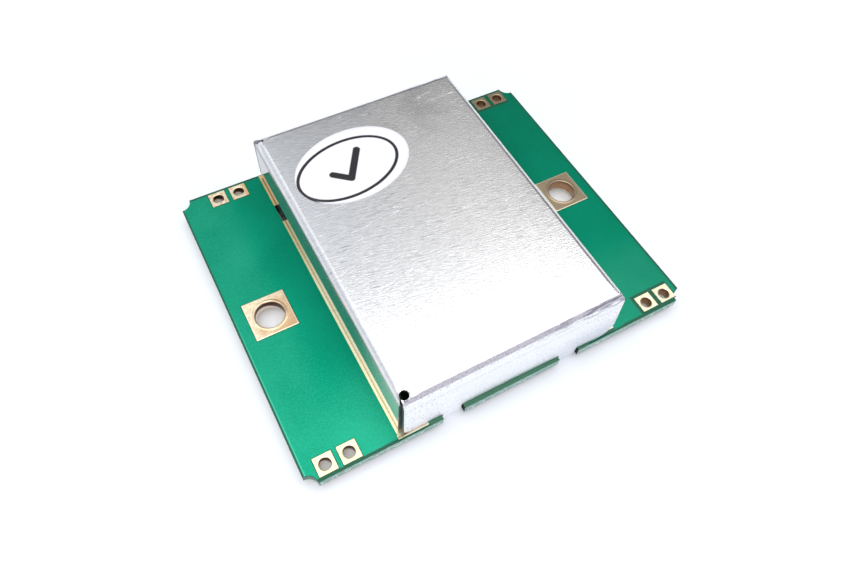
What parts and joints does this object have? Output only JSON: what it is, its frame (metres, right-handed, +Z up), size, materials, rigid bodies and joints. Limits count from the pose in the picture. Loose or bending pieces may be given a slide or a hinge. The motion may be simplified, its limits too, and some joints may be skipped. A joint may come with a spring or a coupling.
{
  "type": "doppler radar sensor module",
  "caption": "Flat circuit board with a folded aluminium shield can over its microwave circuit, patch antennas underneath, plated mounting holes and solder terminals at the corners.",
  "frame": {"origin": "middle of the board's plan, on the surface that the can's folded feet rest on", "axes": "+X along the board's long edge, +Y along its short edge from the near edge of the picture to the far one, +Z up out of the can's roof"},
  "size_m": [0.0464, 0.0382, 0.0089],
  "materials": {
    "solder_mask_board": "green solder mask on glass-fibre laminate, satin gloss, darker where no copper lies under it",
    "gold_plating": "flat gold plating on copper, satin",
    "folded_aluminium": "rolled sheet with fine streaks along X and small scratches, mirror-like side walls",
    "sticker_paper": "white sticker with a black oval ring",
    "white_ceramic": "fired ceramic, matte",
    "tan_ceramic": "fired ceramic, matte",
    "black_plastic": "moulded epoxy, matte",
    "tinned_metal": "tin plating, satin",
    "screw_brass": "turned brass, satin"
  },
  "bodies": {
    "root": {"circuit_board": "solder_mask_board", "ground_strip": "gold_plating", "tab_pads": "gold_plating", "mounting_eyelet_left": "gold_plating", "mounting_eyelet_right": "gold_plating", "terminals_near_left": "gold_plating", "terminals_near_right": "gold_plating", "terminals_far_left": "gold_plating", "terminals_far_right": "gold_plating", "transmit_antenna": "gold_plating", "receive_antenna": "gold_plating", "plated_vias": "gold_plating", "gate_line": "gold_plating", "drain_line": "gold_plating", "output_line": "gold_plating", "mixer_ring": "gold_plating", "supply_line": "gold_plating", "signal_line": "gold_plating", "ground_pads": "gold_plating", "shield_can": "folded_aluminium", "inspection_label": "sticker_paper", "resonator_puck": "white_ceramic", "transistor_body": "white_ceramic", "capacitor_bodies": "tan_ceramic", "diode_body": "black_plastic", "resistor_bodies": "black_plastic", "transistor_leads": "tinned_metal", "diode_leads": "tinned_metal", "capacitor_ends": "tinned_metal", "resistor_ends": "tinned_metal", "tuning_screw": "screw_brass"}
  },
  "joints": []
}
